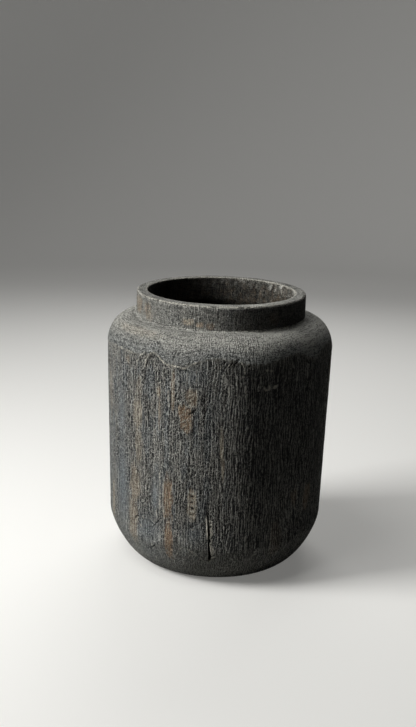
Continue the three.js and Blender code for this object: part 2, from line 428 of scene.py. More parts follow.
def section_rings():
    """(all rings, the height at which the turned shoulder meets the skin in each column)."""
    foot_cross = crossing(FOOT_PATH, rises=True)
    shoulder_cross = crossing(SHOULDER_PATH, rises=False)
    foot_height = np.interp(foot_cross, FOOT_PATH[0], FOOT_PATH[2])
    shoulder_height = np.interp(shoulder_cross, SHOULDER_PATH[0], SHOULDER_PATH[2])
    fillet_foot = (NECK_RADIUS + NECK_FILLET_RADIUS, NECK_FOOT)
    neck_foot = (NECK_RADIUS, NECK_FOOT + NECK_FILLET_RADIUS)
    neck_top = (NECK_RADIUS, HEIGHT - RIM_OUTER_RADIUS)
    rim_outside = (NECK_RADIUS - RIM_OUTER_RADIUS, HEIGHT)
    rim_inside = (MOUTH_RADIUS + RIM_INNER_RADIUS, HEIGHT)
    mouth_top = (MOUTH_RADIUS, HEIGHT - RIM_INNER_RADIUS)
    mouth_foot = (MOUTH_RADIUS, HEIGHT - MOUTH_DEPTH)
    ceiling_foot = (HOLLOW_RADIUS, HEIGHT - MOUTH_DEPTH - CEILING_HEIGHT)
    wall_foot = (HOLLOW_RADIUS, FLOOR_THICKNESS + FLOOR_CORNER_HEIGHT)
    floor_edge = (FOOT_RADIUS - FLOOR_INSET, FLOOR_THICKNESS)
    base = line((INNERMOST_RADIUS, 0), (FOOT_RADIUS, 0))
    ceiling = corner(mouth_foot, ceiling_foot, CEILING_SQUARENESS, "level")
    floor_corner = corner(wall_foot, floor_edge, HOLLOW_SQUARENESS, "upright")
    floor = line(floor_edge, (INNERMOST_RADIUS, FLOOR_THICKNESS))
    rings = rings_along(base, MOUTH_SPACING, BASE, OUTSIDE_STRIDES)
    rings += rings_along(FOOT_PATH, OUTSIDE_SPACING, FOOT, last=foot_cross)
    rings += side_rings(foot_height, shoulder_height)
    rings += rings_along(SHOULDER_PATH, OUTSIDE_SPACING, SHOULDER, first=shoulder_cross)
    for path, spacing, stretch in (
        (corner(fillet_foot, neck_foot, ROUND, "level"), EDGE_SPACING, SHOULDER),
        (line(neck_foot, neck_top), OUTSIDE_SPACING, NECK),
        (corner(neck_top, rim_outside, ROUND, "upright"), EDGE_SPACING, RIM),
        (line(rim_outside, rim_inside), OUTSIDE_SPACING, RIM),
        (corner(rim_inside, mouth_top, ROUND, "level"), EDGE_SPACING, RIM),
        (line(mouth_top, mouth_foot), MOUTH_SPACING, MOUTH),
    ):
        rings += rings_along(path, spacing, stretch)
    wall = line(ceiling_foot, wall_foot)
    inside = ((ceiling, CEILING), (wall, WALL), (floor_corner, FLOOR_CORNER), (floor, FLOOR))
    for path, stretch in inside:
        rings += rings_along(path, HOLLOW_SPACING, stretch, HOLLOW_STRIDES)
    return rings, shoulder_height


class Points:
    """Every point of the mesh but the two at the axis, ring by ring, with its place on the pot."""

    def __init__(self, rings, shoulder_edge):
        radius = np.array([ring.radius for ring in rings])
        height = np.array([ring.height for ring in rings])
        along_radius = np.gradient(radius, axis=0)
        along_height = np.gradient(height, axis=0)
        length = np.maximum(np.hypot(along_radius, along_height), 1e-9)
        kept = np.zeros(radius.shape, bool)
        for ring_index, ring in enumerate(rings):
            kept[ring_index, :: ring.stride] = True
        self.ring, self.column = np.nonzero(kept)
        self.radius = radius[kept]
        self.height = height[kept]
        self.normal_radius = (along_height / length)[kept]
        self.normal_height = (-along_radius / length)[kept]
        self.stretch = np.array([ring.stretch for ring in rings])[self.ring]
        azimuth = np.array([azimuth_at(row) for row in height])
        self.azimuth = azimuth[kept]
        self.there = on_cylinder(self.azimuth, self.height, self.radius)
        self.shoulder_edge = shoulder_edge[self.column]
        self.count = len(self.ring)
        self.section_length = np.concatenate([[0], np.cumsum(length.mean(axis=1))[:-1]])

    def noise(self, size, seed):
        return noise_at(self.there, size, seed)

    def near(self, azimuth, half_width):
        """1 at an azimuth, and less to both sides of it."""
        return bell(turn_to(azimuth, self.azimuth) / half_width)

    def above(self, low, high):
        """0 up to one height, 1 from another."""
        return ease(self.height, low, high)

    def right_of(self, low, high):
        """0 up to one azimuth, 1 from another."""
        return ease(self.azimuth, low, high)


# Marks

# Worn places. A place's strength is how much bare wood shows, warm is how brown it is, and rungs is
# how deep the short strokes across the grain are, in millimetres.
Worn = namedtuple("Worn", "azimuth height half_width half_height strength warm rungs")
WORN_PLACES = [Worn(*row) for row in (
    (-51, 274, 1.7, 5, 0.6, 0.45, 0), (-30.1, 245, 1.2, 8, 0.8, 0.45, 0),
    (-29.7, 221, 0.9, 18, 0.6, 0.5, 0), (-42.2, 243, 1.8, 13, 0.45, 0.3, 0),
    (-43.2, 213, 2.9, 24, 0.75, 0.25, 0), (-43.3, 170, 2.6, 28, 0.6, 0.27, 0),
    (-45.9, 118, 3.8, 26, 0.7, 0.4, 0), (-47.8, 72, 3.4, 34, 0.7, 0.3, 0), (-70.2, 78, 2, 28, 0.75, 0.2, 0),
    (-72, 225, 3, 34, 0.3, 0.5, 0), (-24.4, 114, 2.8, 26, 1, 0.85, 0), (-24.1, 60, 2.3, 28, 1, 0.95, 0),
    (-11.9, 110, 1.9, 21, 1.3, 0.4, 0.1), (-13, 243, 2.6, 12, 1, 0.45, 0.08),
    (-15.6, 216, 3.2, 16, 1.3, 0.8, 0.06), (-17.4, 225, 2.2, 9, 1.3, 0.8, 0),
    (-22.3, 252, 0.9, 22, 0.85, 0.6, 0), (1.9, 186, 0.9, 24, 1, 0.2, 0), (2.9, 158, 0.7, 14, 0.9, 0.2, 0),
    (54.4, 106, 3.4, 17, 0.6, 0.65, 0), (44.1, 110, 1.8, 11, 0.45, 0.75, 0), (33, 62, 4, 22, 0.2, 0.9, 0),
    (-72, 330, 8, 11, 0.6, 0.6, 0), (-56, 326, 6, 10, 0.55, 0.5, 0), (-21, 323, 3.6, 4, 0.9, 0.25, 0),
    (-14, 321, 3, 3, 0.8, 0.45, 0), (-7, 320, 2.6, 4, 0.6, 0.55, 0), (36, 328, 5, 8, 0.25, 0.9, 0),
    (-52, 307, 20, 4, 0.3, 0.15, 0),
)]
WORN_SQUARENESS = 2.6
BACK_WORN_COUNT = 26
BACK_START = 75
BACK_END = 270

# Strokes, each a line through (azimuth, height) points. A row gives the half width, the depth, the
# bed's shade, the top's paleness and then the points. A depth below zero is a raised line, the bed's
# shade is how black its bed is painted as shade, and the top's paleness is how pale its top is.
Stroke = namedtuple("Stroke", "points half_width depth char rub")
STROKE_WIDENING = 1.3
STROKE_WOBBLE = 0.5
STROKE_WOBBLE_SIZE = 3.5
BEAD_SIZE = 2.4
STROKES = [Stroke(np.reshape(row[4:], (-1, 2)), *row[:4]) for row in (
    # The rubbed line round the arch, down its right side, and on to the right, pale partly from wear and
    # partly as a painted highlight, with painted shadow lines in the cuts beside it
    (0.55, -0.5, 0, 1.5, -38.8, 270, -37.8, 281, -35.6, 287.6, -33.4, 290, -30.7, 287.2, -27.6, 281, -25,
     277.8, -23.7, 274.4),
    (0.6, -0.2, 0, 1.1, -23.7, 275, -22.8, 267.5, -22.2, 256, -22.2, 240, -22.7, 232.7, -20.8, 229),
    (0.65, -0.5, 0, 1.5, -25.6, 279.2, -23.4, 279.6, -21.1, 279.2, -19, 278, -17, 276.8, -15.2, 279.2,
     -13.6, 281.4, -11, 284.6),
    (0.55, -0.4, 0, 1.1, -43.3, 276, -41.7, 283.1, -39, 288.6),
    (0.45, 0.5, 0.7, 0, -41.8, 277, -40.2, 282.6, -38.2, 287),
    (0.6, 0.5, 0.7, 0, -22.6, 275.6, -19.2, 275.2, -16.6, 274, -14.2, 277),
    (0.5, 0.5, 0.7, 0, -26.6, 277.6, -25, 274.6, -24.2, 268),
    (0.5, -0.3, 0, 0.6, -39.8, 278.7, -38.4, 283, -36.8, 287.4),
    (0.5, -0.3, 0, 0.7, -43.7, 278, -43.4, 266), (1.3, -0.3, 0, 1, -57.2, 285.6, -55.8, 284.8),
    (1, -0.2, 0, 0.8, -63.6, 286, -62.4, 285), (0.6, -0.2, 0, 0.6, -53, 285.6, -50, 284.6, -46.5, 284.2),
    # The furrow inside the arch, with painted shade in its bed
    (0.8, 0.8, 0.65, 0, -38.1, 264, -37.7, 273.5, -36.2, 281.3, -34.6, 285, -33, 286.4, -31.1, 284.6,
     -30, 280.5, -29.3, 271.3, -29.2, 262, -30.7, 254),
    (0.8, -0.3, 0, 0.8, -31.2, 253.5, -29.2, 257),
    # Slanted slivers under the edge, right of the middle, and flecks further right
    (0.7, 0.6, 1.4, 0, 5.6, 283.2, 7.9, 287.6), (0.55, 0.5, 1.2, 0, 3.6, 280.8, 5.6, 285.2),
    (0.5, 0.4, 1, 0, 1.7, 278.4, 3.6, 283), (0.5, 0.5, 0.7, 0, -0.4, 277.6, 1.2, 281.2),
    (0.6, 0.7, 1, 0, 7.2, 288.6, 8.9, 290.6), (0.6, 0.7, 0.9, 0, 8.6, 283.4, 9.6, 286.6),
    (0.9, 0.8, 1.2, 0, 13.1, 281.9, 13.9, 283.4), (0.6, -0.4, 0, 1.5, 4.8, 281.6, 6.8, 286.4),
    (0.6, -0.4, 0, 1.4, 2.8, 279.8, 4.5, 284.2), (0.7, -0.4, 0, 1.4, -0.1, 279.2, 1.4, 283),
    (0.7, -0.4, 0, 1.4, 9.4, 286.8, 11, 282.3), (0.7, -0.4, 0, 1.5, 11, 281.1, 11.5, 277.6, 11.4, 273.4),
    (0.7, -0.3, 0, 1, 13.2, 284.4, 13.8, 280.3), (0.6, -0.2, 0, 0.9, 9.7, 267.6, 11, 269.4, 10, 271.2),
    (0.8, -0.2, 0, 3, 21.3, 257.4, 21.8, 253.6, 23.2, 252.4, 24.4, 254.2, 23.7, 257.6),
    (1.4, -0.2, 0, 3, 26.7, 254.9, 27.8, 255.4), (1, -0.3, 0, 1.6, 22.1, 276.2, 23.1, 276.3),
    (1, -0.3, 0, 1.6, 24.4, 275.8, 25.2, 275.1), (0.5, -0.3, 0, 0.8, 12.1, 262, 12.4, 244),
    (0.5, -0.3, 0, 0.8, 4.3, 257, 4.4, 242.8), (0.5, -0.3, 0, 0.8, 5.5, 246, 5.6, 232),
    # The knot, and the ladder of strokes under it
    (0.7, -0.4, 0, 0.9, -10.9, 253, -10.3, 243.4, -10.8, 228),
    (1, 0.9, 1.1, 0, -13.9, 223.2, -12.4, 225.6, -11, 229), (0.8, -0.3, 0, 0.9, -13.8, 231.4, -11.6, 233),
    (0.5, 0.4, 0.6, 0, -19.2, 215, -16.6, 219.4), (0.5, 0.4, 0.6, 0, -18.8, 209, -14.8, 214),
    (0.5, 0.4, 0.6, 0, -17.2, 203.8, -14, 208.6), (0.5, 0.4, 0.6, 0, -16.6, 226.4, -14.2, 230.2),
    (0.7, -0.2, 0, 0.9, -19.4, 219, -16.2, 223.6), (0.7, -0.2, 0, 0.9, -18.6, 211.4, -15, 216.6),
    (0.7, -0.2, 0, 0.8, -17.6, 206, -14.4, 210.6), (0.6, -0.2, 0, 0.7, -16.6, 200.4, -14.4, 204),
    (0.6, -0.2, 0, 0.8, -15.6, 231, -12.8, 235.6), (0.6, -0.2, 0, 0.9, -15.2, 237.6, -12, 242.4),
    (0.6, -0.2, 0, 0.8, -14.8, 244, -11.8, 248), (0.5, 0.4, 0.7, 0, -15.4, 234, -12.2, 239.4),
    (0.5, 0.4, 0.7, 0, -15, 240.4, -11.8, 245), (0.5, 0.4, 0.6, 0, -14.6, 247, -11.8, 250.4),
    (0.5, -0.3, 0, 1.2, -10.1, 130.4, -9.8, 110, -10.1, 92),
    (0.5, -0.2, 0, 0.6, -13.6, 127, -13.4, 108, -13, 94),
    (0.6, 0.5, 0.8, 0, -13.3, 130.4, -12, 132, -10.7, 131), (0.9, -0.3, 0, 1.2, -12.8, 125.6, -10.8, 124.6),
    (0.8, -0.3, 0, 1, -12.9, 117.8, -10.8, 116.6), (0.8, -0.3, 0, 1.1, -12.8, 110.8, -10.8, 110),
    (1, -0.3, 0, 1.4, -12.6, 103, -10.8, 102), (0.9, -0.3, 0, 1, -13, 95.4, -10.8, 95.6),
    (0.9, -0.3, 0, 0.9, -12.8, 90, -11, 89.4), (0.8, 0.6, 1.2, 0, -12.6, 121.5, -11.2, 120.6),
    (0.8, 0.6, 1.2, 0, -12.7, 114.2, -11.6, 113.6), (0.8, 0.6, 1.2, 0, -12.2, 107, -11, 106.2),
    (0.6, 0.6, 0.9, 0, -12.6, 99, -11.2, 98), (0.9, 0.7, 1, 0, -12.8, 83, -11.8, 81.8, -10.7, 84.4),
    (0.7, -0.3, 0, 1, -11.9, 79.2, -10.6, 79.6),
    # Long fine lines of the grain
    (0.6, 0.7, 1, 0, -6.8, 251, -6.7, 235.7, -6.4, 220), (0.5, -0.2, 0, 0.6, -15.4, 278, -15.3, 259),
    (0.5, -0.2, 0, 0.7, -11.1, 279, -10.8, 255), (0.7, -0.3, 0, 0.8, -24.8, 248, -24.5, 229),
    (0.7, -0.3, 0, 0.8, -29.4, 146, -29, 117, -29.2, 90),
    (0.6, -0.3, 0, 0.8, -27.2, 138, -26.9, 112, -27.3, 92), (0.5, 0.4, 0.8, 0, 3.2, 200, 3.5, 168),
    (0.7, -0.3, 0, 1.1, 2.2, 181, 2.3, 176), (0.5, -0.3, 0, 0.7, 10.8, 152, 11.7, 104),
    # The branch scar
    (0.6, 0.6, 1.3, 0, -34.3, 71.4, -29.4, 84.4), (0.4, -0.1, 0, 0.5, -34.9, 74.2, -30.8, 85.8),
    (0.7, 0.5, 1.2, 0, -46.4, 74.4, -45.6, 78, -44.1, 79.8, -43, 78),
    (0.9, -0.4, 0, 0.4, -45.8, 73.6, -43.3, 69.6, -41, 66),
    (0.6, -0.3, 0, 0.8, -41, 79.6, -40, 77.4, -39.4, 80.2), (0.6, 0.6, 0.8, 0, -37.4, 68.7, -34.3, 71.4),
    (0.5, 0.4, 1, 0, -30.3, 96.4, -30.8, 92.3, -30.7, 88),
    (0.6, -0.3, 0, 0.9, -31.7, 88.2, -31.9, 93, -31, 97),
    (0.7, 0.5, 0.8, 0, -35.3, 58.8, -34.2, 56.4, -33.4, 52.7),
    (0.7, 0.6, 1.3, 0, -35.2, 42.6, -33, 47.4, -32.3, 50.6), (0.5, -0.2, 0, 1.3, -34.8, 46.4, -34.1, 50),
    (0.8, 0.5, 0.7, 0, -36.2, 39, -36, 41.4), (0.55, 0.4, 1.1, 0, -40.9, 55.2, -41.2, 48),
    (0.7, 0.4, 0.7, 0, -38.4, 58.6, -37.3, 58.2),
    (0.9, -0.3, 0, 0.5, -21, 38, -16.8, 53.6, -12.5, 50.8, -8.4, 42.5, -5, 35.5),
    # Cracks in the neck
    (0.7, 0.8, 1.2, 0, -58.4, 340, -57.6, 332, -57.4, 324), (0.5, 0.5, 0.9, 0, -55.9, 337, -55.6, 329),
    (0.5, 0.4, 0.7, 0, -66, 335, -65.6, 324),
    # Cracks of the sides and the back
    (0.8, 1.3, 1, 0, 96, 190, 94.4, 130, 94, 70), (0.7, 1, 0.9, 0, 171, 262, 170.6, 205, 173, 150),
    (0.9, 1.4, 1, 0, 205, 60, 205.4, 95, 203, 130),
    (0.9, 0.8, 0.8, 0, 138, 74, 142.4, 66, 146, 69, 149, 80),
    (0.6, 0.9, 0.8, 0, 239, 210, 241.2, 160, 241, 120), (0.5, 0.6, 0.9, 0, 120, 340, 121, 318),
    (0.5, 0.5, 0.8, 0, 214, 338, 213, 320),
)]


def back_worn_places():
    """Worn places like the front's, spread over the sides and the back."""
    rng = np.random.default_rng(BACK_MARKS)
    places = []
    for _ in range(BACK_WORN_COUNT):
        azimuth = rng.uniform(BACK_START, BACK_END)
        height = rng.uniform(50, 262)
        slim = rng.uniform(0.8, 3.6)
        tall = rng.uniform(12, 42)
        strength = rng.uniform(0.3, 0.9)
        warm = rng.uniform(0.3, 1)
        rungs = rng.choice([0, 0, 0, 0.3])
        places.append(Worn(azimuth, height, slim, tall, strength, warm, rungs))
    places.append(Worn(140, 330, 9, 8, 0.5, 0.6, 0))
    places.append(Worn(226, 331, 7, 7, 0.45, 0.6, 0))
    return places


def worn_masks(points):
    """(how bare, how warm, how deep the rungs are) at each point."""
    fingers = points.noise((1.7, 1.7, 15), MARK_NOISE)
    cloud = points.noise((7, 7, 16), BREAK_UP)
    bare = np.zeros(points.count)
    warm = np.full(points.count, 0.5)
    rungs = np.zeros(points.count)
    outside = points.stretch <= NECK
    for place in WORN_PLACES + back_worn_places():
        aside = np.abs(turn_to(place.azimuth, points.azimuth)) / place.half_width
        above = np.abs(points.height - place.height) / place.half_height
        away = (aside ** WORN_SQUARENESS + above ** WORN_SQUARENESS) ** (1 / WORN_SQUARENESS)
        reach = away + 0.35 * fingers + 0.3 * cloud
        mask = outside * place.strength * (1 - ease(reach, 0.55, 1.25))
        warm = np.where(mask > bare, place.warm, warm)
        rungs = np.maximum(rungs, mask * place.rungs)
        bare = np.maximum(bare, mask)
    return bare, warm, rungs


def along_stroke(stroke):
    """(azimuths, heights, shares of its length) of places a millimetre or so apart on a stroke."""
    azimuths, heights = np.array(stroke.points, float).T
    steps = np.hypot(np.diff(azimuths) * math.radians(TRUNK_RADIUS), np.diff(heights))
    length = np.concatenate([[0], np.cumsum(steps)])
    share = np.linspace(0, 1, max(8, int(length[-1])))
    along = share * length[-1]
    return np.interp(along, length, azimuths), np.interp(along, length, heights), share


def stroke_masks(points):
    """(depth, painted shade in their beds, paleness of their tops) of the strokes at each point."""
    depth = np.zeros(points.count)
    char = np.zeros(points.count)
    rub = np.zeros(points.count)
    wobble_aside = STROKE_WOBBLE * points.noise(STROKE_WOBBLE_SIZE, WOBBLE)
    wobble_up = STROKE_WOBBLE * points.noise(STROKE_WOBBLE_SIZE, EDGE_NOISE)
    beads = np.clip(0.85 + 1.3 * points.noise(BEAD_SIZE, GRIT), 0, 1.6)
    outside = points.stretch <= NECK
    for stroke in STROKES:
        azimuths, heights, share = along_stroke(stroke)
        reach = 4 * stroke.half_width
        middle = azimuths.mean()
        widest = np.abs(azimuths - middle).max() + 3
        near = outside & (np.abs(turn_to(middle, points.azimuth)) < widest)
        near &= (points.height > heights.min() - reach) & (points.height < heights.max() + reach)
        index = np.nonzero(near)[0]
        per_degree = math.radians(1) * points.radius[index, None]
        aside = turn_to(azimuths[None, :], points.azimuth[index, None]) * per_degree
        above = points.height[index, None] - heights[None, :]
        taper = 0.5 + 0.5 * np.sin(math.pi * np.clip(share, 0.04, 0.96)) ** 0.5
        away = np.hypot(aside + wobble_aside[index, None], above + wobble_up[index, None])
        mark = bell((away / (STROKE_WIDENING * stroke.half_width * taper[None, :])).min(axis=1))
        depth[index] += stroke.depth * mark * (0.4 + 0.6 * beads[index])
        crisp = ease(mark, 0.2, 0.7)
        char[index] = np.maximum(char[index], stroke.char * crisp)
        rub[index] = np.maximum(rub[index], stroke.rub * crisp * beads[index])
    return depth, char, rub


def fissure_masks(points):
    """(depth, paleness of its edges and torn wood, painted shade in the gap, hairline and holes) of the
    fissure at each point.
    """
    up = points.height
    outside = (points.stretch <= SHOULDER) & (up > FISSURE_BOTTOM) & (up < FISSURE_TOP)
    aside = turn_to(fissure_azimuth(up), points.azimuth) * math.radians(1) * points.radius
    up_only = on_cylinder(np.zeros(points.count), up, 1)
    rag = noise_at(up_only, (5, 5, 2.8), FISSURE_RAG)
    crumbs = points.noise(2.3, FISSURE_RAG)
    width = np.interp(up, FISSURE_GAP_HEIGHTS, FISSURE_GAP_WIDTHS) * (1 + 0.35 * rag)
    gap = outside * (width > 0.1) * ease(aside, -0.35, 0.15)
    gap *= 1 - ease(aside + 0.5 * crumbs, width - 0.3, width + 0.4)
    slope_width = FISSURE_SLOPE_WIDTH * (0.85 + 0.3 * rag)
    slope = outside * (aside > 0) * np.clip(1 - (aside - width) / slope_width, 0, 1)
    slope *= ease(up, 34, 41) * (1 - ease(up, 88, 96))
    torn = ease(slope, 0.05, 0.3)
    holes = torn * ease(-crumbs, 0.2, 0.45) * (0.3 + 0.7 * ease(up, 66, 76))
    depth = FISSURE_DEPTH * gap - FISSURE_SLOPE_DEPTH * (1 - gap) * torn * crumbs
    depth = np.maximum(depth, FISSURE_HOLE_DEPTH * holes)

    # Pale wood on a lip along the left edge, high up, and pale torn wood on the slope, with a painted
    # highlight about 46 mm up
    left_edge = outside * bell((aside + 0.8) / 0.85)
    left_edge = left_edge * ease(up, 66, 73) * (1 - ease(up, 86, 100))
    whitest = 1.8 + 1.2 * bell((up - 46) / 9)
    pale = whitest * torn * np.clip(0.7 + 1.5 * crumbs, 0, 1) * (1 - holes)
    wear = outside * np.maximum(3 * left_edge, pale) * (1 - gap)
    hairline = 0.7 * bell(aside / 0.6) * ease(up, 98, 103) * (1 - ease(up, 108, 118))
    depth += outside * (0.4 * hairline - FISSURE_LIP_HEIGHT * left_edge * (1 - gap))
    # Painted shade in the gap, the hairline above it and the holes
    return depth, wear, np.maximum.reduce([gap, outside * hairline, holes])


# Relief

def lines_round(points, pitch, count, seed):
    """Noise drawn out round the axis, so many cells to a turn and a pitch apart up the section."""
    turn = np.radians(points.azimuth)
    ring = np.stack([count * np.sin(turn), count * np.cos(turn), 0 * turn], axis=-1) / (2 * math.pi)
    ring[:, 2] = points.section_length[points.ring] / pitch
    return noise_at(ring, 1, seed)


def turned_relief(points, is_at):
    """(push, crest, rough, painted shade) of the end grain on the turned surfaces."""
    pits = ease(points.noise(PIT_SIZE, PITS), 0.22, 0.6)
    grit = points.noise(GRIT_SIZE, GRIT)
    ring_strength = 0.5 + 0.5 * points.noise(30, RINGS)
    path = points.section_length[points.ring]
    rings = np.sin(2 * math.pi * path / RING_PITCH + 2 * points.noise(60, RINGS)) * ring_strength
    flat_top = points.above(points.shoulder_edge + 4, NECK_FOOT - 3)
    grain = GRIT_DEPTH * grit - PIT_DEPTH * pits * (1 - 0.6 * flat_top) + RING_DEPTH * rings
    push = np.where(is_at[SHOULDER], grain, 0)
    push += np.where(is_at[FOOT], 0.8 * grain, 0)
    push += np.where(is_at[BASE] | is_at[FLOOR], np.minimum(0.5 * grain, 0), 0)
    tool_lines = lines_round(points, TOOL_LINE_PITCH, 19, RINGS)
    crest = np.clip(0.5 + 0.3 * grit - 0.35 * pits + 0.12 * rings + 0.45 * tool_lines, 0, 1)
    rough = np.select([is_at[SHOULDER], is_at[NECK]], [0.95 - 0.2 * flat_top, 1.3], 0.6)
    # Painted shade in the end-grain pits of the shoulder and the foot, less on the flat top
    soot = (is_at[SHOULDER] | is_at[FOOT]) * pits * 0.45 * (1 - 0.7 * flat_top)

    # The turned line round the neck's foot, with painted shade in it
    neck_line = bell((points.radius - NECK_LINE_RADIUS) / NECK_LINE_WIDTH) * is_at[SHOULDER]
    neck_line *= 0.2 + 0.8 * ease(points.noise(34, RINGS), -0.3, 0.5)
    push -= NECK_LINE_DEPTH * neck_line
    soot += 0.5 * neck_line

    # Upright scratches on the neck
    scratches = points.noise((SCRATCH_WIDTH, SCRATCH_WIDTH, SCRATCH_LENGTH), SCRATCHES)
    on_neck = SCRATCH_DEPTH * scratches + 0.4 * GRIT_DEPTH * grit - 0.3 * PIT_DEPTH * pits
    push += np.where(is_at[NECK], on_neck, 0)
    crest = np.where(is_at[NECK], np.clip(0.5 + 0.3 * scratches + 0.25 * grit, 0, 1), crest)
    return push, crest, rough, soot


def rim_relief(points, is_at):
    """(push, wear, painted shade) of the rim: uneven, chipped outside with painted shade in the chips, and
    pale where both edges were rubbed.
    """
    uneven = 0.5 - 0.5 * points.noise(16, RINGS)
    edge_noise = points.noise(7, EDGE_NOISE)
    outer_edge = bell(np.hypot(points.radius - NECK_RADIUS + 0.8, points.height - HEIGHT + 0.8) / 1.2)
    inner_edge = bell(np.hypot(points.radius - MOUTH_RADIUS - 0.3, points.height - HEIGHT + 0.3) / 1.0)
    chips = ease(points.noise((6, 6, 30), CHIPS), 0.35, 0.7)
    chipped = chips * bell(np.hypot(points.radius - NECK_RADIUS, points.height - HEIGHT + 1) / 2.4)
    push = -RIM_UNEVENNESS * np.where(is_at[RIM], uneven, 0) - CHIP_DEPTH * chipped
    front = points.near(-15, 50)
    wear = outer_edge * (0.35 + 0.35 * front + 0.4 * edge_noise) * (1 - 0.7 * chips)
    wear += inner_edge * (0.6 + 0.5 * edge_noise)
    return push, wear, 0.7 * chips * outer_edge


def hollow_relief(points, hollow, is_at):
    """(push, crest, dust and painted light, painted shade) inside: gouge marks, pale blotches near the rim,
    painted light on the lit wall, and painted shade below and on the other sides.
    """
    gouges = points.noise((GOUGE_WIDTH, GOUGE_WIDTH, 1.6 * GOUGE_WIDTH), GOUGES)
    fibre = points.noise((2.6, 2.6, 11), SCRATCHES)
    at_mouth = points.above(HEIGHT - MOUTH_DEPTH, HEIGHT - 4)
    depth = np.where(is_at[MOUTH], 0.3 + 0.4 * (1 - at_mouth), 1) * GOUGE_DEPTH
    push = np.where(hollow, depth * gouges + 0.25 * fibre, 0)
    patchy = points.noise(4.5, BLOTCHES) + 0.5 * points.noise(12, BLOTCHES)
    blotch = ease(patchy, 0.1, 0.7)
    near_rim = points.above(HEIGHT - 16, HEIGHT - 2)
    # Painted light on the lit wall inside, where the dust blotches also lie; painted shade deeper down and
    # on the other sides
    painted_light_side = 0.1 + 0.9 * points.near(PAINTED_LIGHT_INSIDE, 52)
    dust = hollow * painted_light_side * (blotch * (0.2 + 1.1 * near_rim) + 0.3 * near_rim)
    soot = hollow * (1 - points.above(HEIGHT - SHADE_FULL_BELOW_RIM, HEIGHT - SHADE_TOP_BELOW_RIM))
    soot = np.maximum(0.85 * soot, 0.75 * hollow * (1 - painted_light_side))
    return push, np.clip(0.4 + 0.35 * fibre + 0.25 * gouges, 0, 1), dust, soot


def edge_relief(points):
    """(depth, crumble, painted shade in the slivers) where the skin starts below the turned shoulder."""
    there = points.there
    under = points.shoulder_edge - points.height
    below = np.maximum(under, 0)
    crumble = points.noise((CRUMBLE_SIZE, CRUMBLE_SIZE, CRUMBLE_SIZE * 1.5), CRUMBLE)
    broken = bell(below / CRUMBLE_REACH)
    sharp = points.right_of(-52, -44) * (1 - points.right_of(-13, -6))
    lip = LIP_DEPTH * (0.2 + 0.8 * sharp) * np.exp(-below / LIP_REACH) * (under > 0)

    # Slivers that slant to the left, right of the middle of the front
    slant = math.radians(SLIVER_SLANT)
    across = there[:, 0] * math.cos(slant) - there[:, 2] * math.sin(slant)
    along = there[:, 0] * math.sin(slant) + there[:, 2] * math.cos(slant)
    slanted = np.stack([across / SLIVER_WIDTH, along / SLIVER_LENGTH, np.zeros(points.count)], axis=-1)
    sliver = np.clip(1.8 * noise_at(slanted, 1, SLIVERS), 0, 1)
    sliver *= points.near(4, 9) * bell((under - 4) / 5) * (under > 0)

    depth = lip + CRUMBLE_DEPTH * broken * np.clip(crumble + 0.2, 0, 1) + SLIVER_DEPTH * sliver
    return depth, broken, 0.9 * sliver


